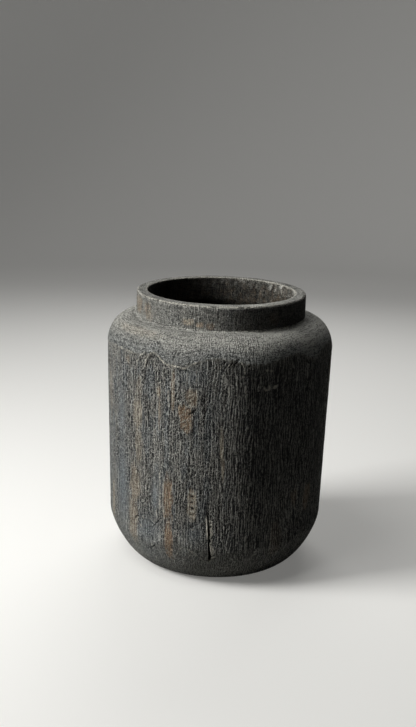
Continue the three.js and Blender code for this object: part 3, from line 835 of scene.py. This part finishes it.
def relieved(points):
    """(radius, height, masks) of the points once their relief has moved them."""
    is_at = {stretch: points.stretch == stretch for stretch in range(FLOOR + 1)}
    shoulder_edge = points.shoulder_edge
    hollow = points.stretch >= MOUTH
    on_log = (points.stretch >= FOOT) & (points.stretch <= SHOULDER)
    grain_push, crest, rough, soot = turned_relief(points, is_at)
    rim_push, wear, chip_shade = rim_relief(points, is_at)
    hollow_push, hollow_crest, dust, hollow_shade = hollow_relief(points, hollow, is_at)
    push = grain_push + rim_push + hollow_push
    crest = np.where(hollow, hollow_crest, crest)
    soot = soot + chip_shade + hollow_shade

    # Dust lies on the turned shoulder, most on its flat top, and in the corner under the neck. On the right
    # the paleness reaches further down the shoulder, partly as painted light, and on the left there is less
    # dust.
    top = points.above(shoulder_edge + 6, NECK_FOOT - 5)
    left = points.near(PAINTED_LIGHT_LEFT, 42)
    right = points.near(PAINTED_LIGHT_RIGHT, 40)
    brushed = 1 - 0.4 * right * ease(lines_round(points, 2.4, 9, BREAK_UP), -0.1, 0.5)
    wide_top = points.above(shoulder_edge + 2, NECK_FOOT - 7)
    dust_and_light_on_top = (top * (1 - 0.5 * left) * (1 - right) + wide_top * right) * brushed
    dust += is_at[SHOULDER] * (0.27 + 0.73 * dust_and_light_on_top)
    # Dust and painted light on the neck's lit left, most low down
    low_neck = 1 - points.above(NECK_FOOT, NECK_FOOT + 12)
    dust += is_at[NECK] * (0.04 + points.near(PAINTED_LIGHT_LEFT, 56) * (0.42 + 0.4 * low_neck))
    # Painted shade on the neck's right side, away from the key lamp
    soot += is_at[NECK] * 0.55 * points.right_of(-15, 35) * (1 - points.right_of(90, 130))
    dust += is_at[RIM] * (0.1 + 0.65 * points.near(8, 42))

    # The skin of the log, wherever it lies inside the turning. On the turned corner of the foot the
    # grain still shows.
    below, skin_crest, skin_rough = skin(points.azimuth, points.height)
    edge_depth, broken, sliver_shade = edge_relief(points)
    natural = trunk_radius(points.azimuth, points.height) - below - edge_depth
    on_skin = on_log & ((natural < turned_radius(points.height)) | is_at[SIDE])
    like_skin = on_skin | is_at[FOOT]
    push -= 0.3 * np.where(is_at[FOOT], below, 0)
    crest = np.where(like_skin, skin_crest, crest)
    under_edge = bell(np.maximum(shoulder_edge - points.height, 0) / 34)
    under_edge *= 0.2 + 0.8 * points.near(-36, 14)
    rough = np.where(like_skin, skin_rough * (1 + 0.6 * under_edge), rough)
    # Paler towards the bottom on the left
    low = (1 - points.above(10, 80)) * (1 - points.right_of(0, 40))
    dusty_band = points.near(-30, 18) * (1 - points.above(170, 260))
    dust = np.where(like_skin, 0.04 + 0.2 * broken + 0.8 * low + 0.12 * dusty_band, dust)
    # Painted shade on the skin's front right, away from the key lamp, more from 90 mm up
    painted_shade_side = points.right_of(0, 20) * (1 - points.right_of(60, 85))
    painted_shade_side *= 0.2 + 0.22 * points.above(90, 150)
    soot = np.where(on_skin, np.maximum(sliver_shade, painted_shade_side), soot)
    beaded = 1 - points.right_of(-12, 12)
    beaded = np.where(np.abs(points.azimuth) > 100, 0.6, np.where(is_at[NECK], 1, beaded))
    # A pale line along the crossing, partly worn and partly a painted highlight
    edge = bell((points.height - shoulder_edge + 0.3) / 1.2) * on_log
    wear += 0.3 * edge * np.clip(0.7 + points.noise(5, EDGE_NOISE), 0, 1)

    # Marks cut into either surface, or standing up from it
    bare, warm, rungs = worn_masks(points)
    rung_line = np.abs(points.noise((5, 5, 2.2), MARK_NOISE))
    stroke_depth, stroke_shade, rub = stroke_masks(points)
    gap_depth, gap_paleness, gap_shade = fissure_masks(points)
    cut = rungs * (1.6 * np.clip(1 - 2.5 * rung_line, 0, 1) + 0.5) + stroke_depth + gap_depth
    # Painted shade in the beds of the rungs, the strokes and the fissure
    soot = np.maximum.reduce([soot, stroke_shade, gap_shade, rungs * np.clip(1.2 - 4 * rung_line, 0, 1)])

    blue = blueness(points.azimuth, points.height)
    radius = np.where(on_skin, natural, points.radius + push * points.normal_radius) - cut
    height = np.where(on_skin, points.height, points.height + push * points.normal_height)
    height = np.clip(height, 0, HEIGHT)
    masks = {
        "crest": crest,
        "rough": rough,
        "dust": dust,
        "soot": soot,
        "wear": np.maximum.reduce([wear, rub, gap_paleness]),
        "bare": bare,
        "warm": warm,
        "blue": np.where(is_at[SHOULDER] & ~on_skin, 0.45 * (1 - top), blue * like_skin),
        "skin": np.select([on_skin, is_at[FOOT], is_at[NECK]], [1.0, 0.8, 0.35], 0.0),
        "beaded": beaded,
        "inside": hollow * 1.0,
    }
    return radius, height, masks


# The mesh

def faces_between(lower, upper, lower_start, upper_start):
    """Faces from one ring to the next, as lists of (point, column). Either may be the coarser."""
    def point(ring, start, column):
        return start + (column % COLUMNS) // ring.stride

    faces = []
    coarse = max(lower.stride, upper.stride)
    for column in range(0, COLUMNS, coarse):
        after = column + coarse
        middle = column + coarse // 2
        a = (point(lower, lower_start, column), column)
        b = (point(lower, lower_start, after), after)
        c = (point(upper, upper_start, after), after)
        d = (point(upper, upper_start, column), column)
        if lower.stride == upper.stride:
            faces.append((a, b, c, d))
        elif lower.stride < upper.stride:
            m = (point(lower, lower_start, middle), middle)
            faces.extend([(a, m, d), (m, c, d), (m, b, c)])
        else:
            m = (point(upper, upper_start, middle), middle)
            faces.extend([(a, b, m), (a, m, d), (b, c, m)])
    return faces


UV_MARGIN = 0.004
OUTSIDE_UV_HEIGHT = 0.5
INSIDE_UV_WIDTH = 0.74


def uv_of(island, share_round, length, lengths, radius, azimuth):
    """Where a corner of a face lies in the UV map, a picture that colours can be baked to."""
    turn = math.radians(azimuth)
    if island == "outside":
        along = (length - lengths["foot"]) / (lengths["rim"] - lengths["foot"])
        return (
            UV_MARGIN + (1 - 2 * UV_MARGIN) * share_round,
            UV_MARGIN + (OUTSIDE_UV_HEIGHT - 2 * UV_MARGIN) * along,
        )
    if island == "inside":
        along = (length - lengths["rim"]) / (lengths["floor"] - lengths["rim"])
        return (
            UV_MARGIN + (INSIDE_UV_WIDTH - 2 * UV_MARGIN) * share_round,
            OUTSIDE_UV_HEIGHT + UV_MARGIN + (1 - OUTSIDE_UV_HEIGHT - 2 * UV_MARGIN) * along,
        )
    disc = (1 - INSIDE_UV_WIDTH) / 2
    middle_u = INSIDE_UV_WIDTH + disc
    middle_v = OUTSIDE_UV_HEIGHT + disc - UV_MARGIN if island == "base" else 1 - disc + UV_MARGIN
    widest = FOOT_RADIUS if island == "base" else FOOT_RADIUS - FLOOR_INSET
    reach = (disc - 2 * UV_MARGIN) * min(1, radius / widest)
    return middle_u + reach * math.sin(turn), middle_v + reach * math.cos(turn)


def island_of(stretch):
    """The part of the UV map that a stretch's faces go to; colours can be baked to this map."""
    if stretch == BASE:
        return "base"
    if stretch <= RIM:
        return "outside"
    return "floor" if stretch == FLOOR else "inside"


def pot_mesh():
    rings, shoulder_edge = section_rings()
    points = Points(rings, shoulder_edge)
    radius, height, masks = relieved(points)
    turn = np.radians(points.azimuth)
    places = np.stack([radius * np.sin(turn), -radius * np.cos(turn), height], axis=-1)
    base_middle = points.count
    floor_middle = points.count + 1
    last_index = len(rings) - 1
    middles = [[0, 0, height[points.ring == ring].mean()] for ring in (0, last_index)]
    places = np.concatenate([places, middles])

    starts = np.concatenate([[0], np.cumsum([COLUMNS // ring.stride for ring in rings])])
    stretches = np.array([ring.stretch for ring in rings])
    length = points.section_length
    lengths = {
        "foot": length[np.argmax(stretches == FOOT)],
        "rim": length[np.argmax(stretches == MOUTH)],
        "floor": length[np.argmax(stretches == FLOOR)],
    }
    faces = []
    uvs = []

    def add(face, ring_of_corner, island):
        faces.append([corner_point for corner_point, _ in face])
        for (_, column), ring in zip(face, ring_of_corner):
            if ring is None:
                uvs.append(uv_of(island, 0, 0, lengths, 0, 0))
            else:
                ring_radius = float(rings[ring].radius.mean())
                azimuth = COLUMN_AZIMUTHS[column % COLUMNS]
                uvs.append(uv_of(island, column / COLUMNS, length[ring], lengths, ring_radius, azimuth))

    def close(index, middle, island):
        """Triangles between the first or the last ring and the point on the axis."""
        stride = rings[index].stride
        for column in range(0, COLUMNS, stride):
            after = column + stride
            here = (int(starts[index]) + column // stride, column)
            there = (int(starts[index]) + (after % COLUMNS) // stride, after)
            if index == 0:
                add([(middle, 0), there, here], [None, index, index], island)
            else:
                add([here, there, (middle, 0)], [index, index, None], island)

    close(0, base_middle, "base")
    for index, (lower, upper) in enumerate(zip(rings, rings[1:])):
        island = island_of(lower.stretch)
        lower_start, upper_start = int(starts[index]), int(starts[index + 1])
        for face in faces_between(lower, upper, lower_start, upper_start):
            add(face, [index if p < upper_start else index + 1 for p, _ in face], island)
    close(last_index, floor_middle, "floor")

    mesh = bpy.data.meshes.new("turned_pot")
    mesh.from_pydata((places * MILLIMETRE).tolist(), [], faces)
    mesh.shade_smooth()
    mesh.set_sharp_from_angle(angle=math.radians(CRISP_ANGLE))
    layer = mesh.uv_layers.new(name="OFBake")
    layer.uv.foreach_set("vector", np.array(uvs, np.float32).ravel())
    for name, values in masks.items():
        middle_values = [values[points.ring == ring].mean() for ring in (0, last_index)]
        attribute = mesh.attributes.new(name, "FLOAT", "POINT")
        attribute.data.foreach_set("value", np.concatenate([values, middle_values]).astype(np.float32))
    return mesh


# Objects and nodes

def placed(name, data):
    """A new object of the scene."""
    made = bpy.data.objects.new(name, data)
    bpy.context.scene.collection.objects.link(made)
    return made


def feed(node, inputs):
    """Sets a node's inputs, by name or by number, or links them where they come from another node."""
    for name, source in inputs.items():
        if isinstance(source, bpy.types.NodeSocket):
            node.id_data.links.new(source, node.inputs[name])
        else:
            node.inputs[name].default_value = source


def add_node(tree, kind, inputs=None, **settings):
    """A new node with its settings made, and then its inputs fed."""
    node = tree.nodes.new(kind)
    for name, value in settings.items():
        setattr(node, name, value)
    feed(node, inputs or {})
    return node


# The material

def srgb(red, green, blue):
    """A colour of the screen, 0 to 255, as the renderer's linear colour."""
    def linear(value):
        share = value / 255
        return share / 12.92 if share <= 0.04045 else ((share + 0.055) / 1.055) ** 2.4

    return linear(red), linear(green), linear(blue), 1


GROOVE = srgb(30, 30, 30)
CREST = srgb(188, 186, 177)
BLUE_LOW = srgb(54, 62, 68)
BLUE_HIGH = srgb(150, 161, 166)
TURNED_LOW = srgb(58, 58, 56)
TURNED_HIGH = srgb(168, 167, 159)
DUST_AND_LIGHT_PALE = srgb(194, 193, 184)
BARE_PALE = srgb(200, 192, 173)
BARE_BROWN = srgb(182, 146, 112)
RUBBED_AND_HIGHLIGHT = srgb(226, 221, 206)
SHADE_BLACK = srgb(14, 13, 12)
HOLLOW_LOW = srgb(25, 24, 22)
HOLLOW_HIGH = srgb(112, 109, 99)
HOLLOW_BROWN = srgb(114, 101, 84)
BUMP_DEPTH = 1.1
WOOD_GLOSS = 0.3
COMB_LINES = 262
MASKS = "crest rough bare warm dust soot wear skin blue inside beaded".split()


class Nodes:
    """Short calls for the nodes of one material. Lengths are in millimetres."""

    def __init__(self, material):
        self.tree = material.node_tree
        self.tree.nodes.clear()
        metres = self.new("ShaderNodeTexCoord").outputs["Object"]
        self.place = self.vector("MULTIPLY", metres, (1 / MILLIMETRE,) * 3)
        self.turn = self.around(self.place)
        self.leaning = self.sway(self.place, 14, 34, 4.0, 11)
        self.winding = self.sway(self.leaning, 2.6, 4.6, 1.8, 12)

    def new(self, kind, inputs=None, **settings):
        return add_node(self.tree, kind, inputs, **settings)

    def vector(self, operation, first, second):
        return self.new("ShaderNodeVectorMath", {0: first, 1: second}, operation=operation).outputs[0]

    def math(self, operation, first, second=0.0):
        return self.new("ShaderNodeMath", {0: first, 1: second}, operation=operation).outputs[0]

    def plus(self, first, second):
        return self.math("ADD", first, second)

    def times(self, first, second):
        return self.math("MULTIPLY", first, second)

    def around(self, place):
        """The angle round the axis, in radians."""
        parts = self.new("ShaderNodeSeparateXYZ", {0: place}).outputs
        return self.math("ARCTAN2", parts["X"], parts["Y"])

    def swing(self, value, reach):
        """A value about a half, as one about nought that is so many times as large."""
        return self.times(self.math("SUBTRACT", value, 0.5), reach)

    def mask(self, name):
        return self.new("ShaderNodeAttribute", attribute_name=name).outputs["Fac"]

    def ramp(self, value, low, high, to_low=0.0, to_high=1.0):
        inputs = {0: value, 1: low, 2: high, 3: to_low, 4: to_high}
        return self.new("ShaderNodeMapRange", inputs, interpolation_type="SMOOTHSTEP").outputs[0]

    def mix(self, share, first, second):
        inputs = {0: share, 6: first, 7: second}
        return self.new("ShaderNodeMix", inputs, data_type="RGBA", clamp_factor=True).outputs[2]

    def texture(self, place, width, length, seed, detail):
        """Noise, read elsewhere for each seed."""
        scale = (1 / width, 1 / width, 1 / length)
        offset = (7.3 * seed, 3.1 * seed, 5.7 * seed)
        mapping = self.new("ShaderNodeMapping", {"Vector": place, "Scale": scale, "Location": offset})
        inputs = {"Vector": mapping.outputs[0], "Scale": 1.0, "Detail": detail}
        return self.new("ShaderNodeTexNoise", inputs)

    def sway(self, place, width, length, reach, seed):
        """A place pushed sideways by noise, so that what is read there winds."""
        noise = self.texture(place, width, length, seed, 0.0).outputs["Color"]
        push = self.vector("SUBTRACT", noise, (0.5,) * 3)
        return self.vector("ADD", place, self.vector("MULTIPLY", push, (reach, reach, 0)))

    def noise(self, width, length, seed, detail=0.0):
        """Noise with cells of a width across and a length up the pot."""
        return self.texture(self.place, width, length, seed, detail).outputs["Fac"]

    def noise_round(self, pitch, count, seed):
        """Noise drawn out round the axis, with so many cells to a turn and a pitch between lines."""
        parts = self.new("ShaderNodeSeparateXYZ", {0: self.place}).outputs
        flat = self.vector("MULTIPLY", self.place, (1, 1, 0))
        away = self.new("ShaderNodeVectorMath", {0: flat}, operation="LENGTH").outputs["Value"]
        inputs = {
            "X": self.times(self.turn, count / (2 * math.pi)),
            "Y": self.times(away, 1 / pitch),
            "Z": self.times(parts["Z"], 1 / pitch),
        }
        place = self.new("ShaderNodeCombineXYZ", inputs).outputs[0]
        return self.texture(place, 1, 1, seed, 1.0).outputs["Fac"]

    def lines(self, place, width, length, seed, thickness):
        """Thin lines, 1 on their middle, about a width apart."""
        value = self.texture(place, width, length, seed, 0.0).outputs["Fac"]
        away = self.math("ABSOLUTE", self.math("SUBTRACT", value, 0.5))
        return self.ramp(away, 0.0, thickness, 1.0, 0.0)


def upright_comb(nodes):
    """Fine upright lines at even distances round the axis, which waver a little."""
    drift = nodes.swing(nodes.noise(9, 40, 21), 16)
    waver = nodes.swing(nodes.noise(3.6, 9, 22), 5)
    phase = nodes.plus(nodes.times(nodes.turn, COMB_LINES), nodes.plus(drift, waver))
    return nodes.ramp(nodes.math("SINE", phase), 0.0, 0.95)


def smoked_wood():
    material = bpy.data.materials.new("smoked_wood")
    material.use_nodes = True
    nodes = Nodes(material)
    plus, times, swing, mix, ramp = nodes.plus, nodes.times, nodes.swing, nodes.mix, nodes.ramp
    crest, rough, bare, warm, dust, soot, wear, on_skin, blue, inside, beaded = map(nodes.mask, MASKS)
    bead = ramp(nodes.noise(1.2, 1.8, 2), 0.38, 0.6)
    bead_share = plus(times(bead, 0.7), 0.3)
    comb = times(upright_comb(nodes), plus(times(ramp(nodes.noise(1.5, 3, 14), 0.38, 0.6), 0.75), 0.25))
    ridge = times(nodes.lines(nodes.leaning, 2.3, 22, 1, 0.15), bead_share)
    dash = times(nodes.lines(nodes.winding, 1.7, 2.8, 3, 0.15), bead)
    furrow = nodes.lines(nodes.leaning, 3.2, 70, 7, 0.1)
    streak = nodes.noise(1.1, 14, 4, 2.0)
    speck = nodes.noise(1.35, 1.35, 5, 1.0)
    cloud = nodes.noise(26, 60, 6, 2.0)

    # How light the skin is: thin beaded ridges and fine furrows on a darker, streaked ground
    short = times(dash, plus(times(beaded, 0.75), 0.2))
    long = times(ridge, 0.3)
    lines = plus(plus(times(comb, 0.6), long), short)
    raised = times(rough, plus(times(lines, 2.1), times(furrow, -0.3)))
    skin_tone = plus(plus(raised, swing(streak, 0.5)), plus(times(crest, 0.1), swing(cloud, 0.25)))
    skin_tone = plus(skin_tone, plus(times(rough, -0.47), 0.27))
    # How light the turned wood is: specks on open end grain
    fine_turned = plus(swing(speck, 3.0), swing(nodes.noise_round(1.4, 80, 10), 1.5))
    turned_tone = plus(times(rough, fine_turned), plus(swing(crest, 0.6), swing(cloud, 0.4)))
    turned_tone = plus(turned_tone, 0.45)
    tone = plus(times(on_skin, skin_tone), times(nodes.math("SUBTRACT", 1.0, on_skin), turned_tone))

    colour = mix(on_skin, mix(turned_tone, TURNED_LOW, TURNED_HIGH), mix(skin_tone, GROOVE, CREST))
    tinted = times(on_skin, plus(times(beaded, 0.8), 0.2))
    tint = times(tinted, ramp(nodes.noise(10, 45, 9, 1.0), 0.45, 0.65, 0, 0.4))
    blue_share = nodes.math("MAXIMUM", times(blue, 0.75), tint)
    colour = mix(blue_share, colour, mix(tone, BLUE_LOW, BLUE_HIGH))
    hollow_high = mix(ramp(nodes.noise(7, 9, 8, 1.0), 0.4, 0.62), HOLLOW_HIGH, HOLLOW_BROWN)
    colour = mix(inside, colour, mix(turned_tone, HOLLOW_LOW, hollow_high))

    # Pale dust, with painted light on the inside's lit wall, the neck's lit left and the right of the
    # shoulder's top
    colour = mix(times(dust, ramp(tone, 0.1, 0.65, 0.22, 1.0)), colour, DUST_AND_LIGHT_PALE)
    brown = plus(warm, plus(swing(cloud, 0.6), plus(swing(streak, -1.0), times(lines, -1.0))))
    wood = mix(plus(brown, 0.2), BARE_PALE, BARE_BROWN)
    colour = mix(times(bare, ramp(tone, 0.0, 0.45, 0.3, 1.0)), colour, wood)
    # Pale rubbed wear, with painted highlights along the crossing, round the arch and on the fissure's torn
    # slope
    colour = mix(times(wear, ramp(speck, 0.35, 0.58, 0.4, 1.0)), colour, RUBBED_AND_HIGHLIGHT)
    # Black painted shade: in cracks, cuts, pits and chips, deep inside, and on the side away from the key
    # lamp
    colour = mix(soot, colour, SHADE_BLACK)

    # Dry and dull, a little less so where it is pale or was rubbed smooth
    dull = plus(ramp(tone, 0.0, 1.0, 0.95, 0.8), times(blue, -0.15))
    height = plus(raised, plus(times(streak, 0.35), times(speck, 0.35)))
    distance = BUMP_DEPTH * MILLIMETRE
    bump = nodes.new("ShaderNodeBump", {"Strength": 1.0, "Distance": distance, "Height": height})
    inputs = {
        "Base Color": colour,
        "Roughness": dull,
        "Normal": bump.outputs[0],
        "Specular IOR Level": WOOD_GLOSS,
    }
    shader = nodes.new("ShaderNodeBsdfPrincipled", inputs)
    nodes.new("ShaderNodeOutputMaterial", {"Surface": shader.outputs[0]})
    return material


def make_pot():
    pot = placed("turned_pot", pot_mesh())
    pot.data.materials.append(smoked_wood())
    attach(pot, "root")
    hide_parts("pot_body")


# The studio

STUDIO_RADIUS = 3.2
STUDIO_CORNER = 0.9
STUDIO_WALL_TOP = 3.4
STUDIO_SIDES = 96
STUDIO_CURVE_STEPS = 13
# The camera sees the floor in its colour and glowing a little. Its bounce is the darker colour that it
# lights the pot with.
STUDIO_COLOUR = srgb(226, 225, 221)
STUDIO_BOUNCE = srgb(134, 134, 132)
Lamp = namedtuple("Lamp", "name azimuth elevation distance size level")
LAMPS = [
    Lamp("key", -75, 31, 1.8, 0.65, 1.18),
    Lamp("top", -62, 62, 1.8, 1.0, 0.33),
    Lamp("back", 172, 38, 1.8, 1.3, 0.42),
]
LAMP_AIM = 0.6
# Each lamp's light is held to a cone of so many degrees, which keeps it off the wall beside the lamp
LAMP_SPREAD = 120
FILL_LEVEL = 0.012
STUDIO_GLOW = 0.2


def make_studio():
    """A round pale floor that curves up into a wall, so that it looks the same from every side."""
    turn = np.linspace(0, math.pi / 2, STUDIO_CURVE_STEPS)
    radii = [0.0, *(STUDIO_RADIUS - STUDIO_CORNER + STUDIO_CORNER * np.sin(turn)), STUDIO_RADIUS]
    heights = [0.0, *(STUDIO_CORNER - STUDIO_CORNER * np.cos(turn)), STUDIO_WALL_TOP]
    sides = STUDIO_SIDES
    vertices = [(0, 0, 0)]
    for radius, height in zip(radii[1:], heights[1:]):
        for side in range(sides):
            angle = 2 * math.pi * side / sides
            vertices.append((radius * math.cos(angle), radius * math.sin(angle), height))
    faces = [(0, 1 + side, 1 + (side + 1) % sides) for side in range(sides)]
    for ring in range(len(radii) - 2):
        start = 1 + ring * sides
        for side in range(sides):
            after = (side + 1) % sides
            faces.append((start + side, start + sides + side, start + sides + after, start + after))
    mesh = bpy.data.meshes.new("studio_floor")
    mesh.from_pydata(vertices, [], faces)
    mesh.shade_smooth()
    material = bpy.data.materials.new("studio")
    material.use_nodes = True
    tree = material.node_tree
    seen = add_node(tree, "ShaderNodeLightPath").outputs["Is Camera Ray"]
    glow = add_node(tree, "ShaderNodeMath", {0: seen, 1: STUDIO_GLOW}, operation="MULTIPLY")
    colours = {0: seen, 6: STUDIO_BOUNCE, 7: STUDIO_COLOUR}
    colour = add_node(tree, "ShaderNodeMix", colours, data_type="RGBA")
    inputs = {
        "Base Color": colour.outputs[2],
        "Roughness": 0.9,
        "Specular IOR Level": 0.1,
        "Emission Color": STUDIO_COLOUR,
        "Emission Strength": glow.outputs[0],
    }
    feed(tree.nodes["Principled BSDF"], inputs)
    mesh.materials.append(material)
    studio = placed("studio_floor", mesh)
    studio.visible_shadow = False


def make_lights():
    """A key from the left, weak lamps from above and behind, and an even fill from all round."""
    aim = Vector((0, 0, HEIGHT * MILLIMETRE * LAMP_AIM))
    half_spread = math.radians(LAMP_SPREAD / 2)
    # A lamp held to a cone shines this many times as strongly along its middle
    focus = math.tan(half_spread) / (math.tan(half_spread) - half_spread)
    for lamp in LAMPS:
        around, up = math.radians(lamp.azimuth), math.radians(lamp.elevation)
        away = Vector((math.sin(around) * math.cos(up), -math.cos(around) * math.cos(up), math.sin(up)))
        light = bpy.data.lights.new(lamp.name, "AREA")
        light.shape = "SQUARE"
        light.size = lamp.size
        light.spread = 2 * half_spread
        light.energy = lamp.level * math.pi ** 2 * lamp.distance ** 2 / focus
        holder = placed(lamp.name, light)
        holder.location = aim + away * lamp.distance
        holder.rotation_mode = "QUATERNION"
        holder.rotation_quaternion = away.to_track_quat("Z", "Y")
    world = bpy.data.worlds.new("fill")
    world.use_nodes = True
    feed(world.node_tree.nodes["Background"], {"Color": (1, 1, 1, 1), "Strength": FILL_LEVEL})
    bpy.context.scene.world = world


# The camera stands where the photograph's did
CAMERA_PITCH = 14.8
CAMERA_ROLL = 1.68
CAMERA_DISTANCE = 1.273
CAMERA_TARGET = Vector((-0.0141, 0, 0.2483))
SENSOR = 36
PICTURE_HEIGHT = 727
FOCAL_PIXELS = 1000


def make_camera():
    pitch = math.radians(CAMERA_PITCH)
    forward = Vector((0, math.cos(pitch), -math.sin(pitch)))
    right = Vector((1, 0, 0))
    up = right.cross(forward)
    level = Matrix((right, up, -forward)).transposed()
    camera = bpy.data.cameras.new("camera")
    camera.sensor_width = SENSOR
    camera.lens = FOCAL_PIXELS / PICTURE_HEIGHT * SENSOR
    eye = placed("camera", camera)
    turned = (level @ Matrix.Rotation(math.radians(CAMERA_ROLL), 3, "Z")).to_4x4()
    eye.matrix_world = Matrix.Translation(CAMERA_TARGET - CAMERA_DISTANCE * forward) @ turned
    bpy.context.scene.camera = eye


make_pot()
make_studio()
make_lights()
make_camera()
bpy.context.scene.view_settings.view_transform = "Standard"

bpy.context.view_layer.update()
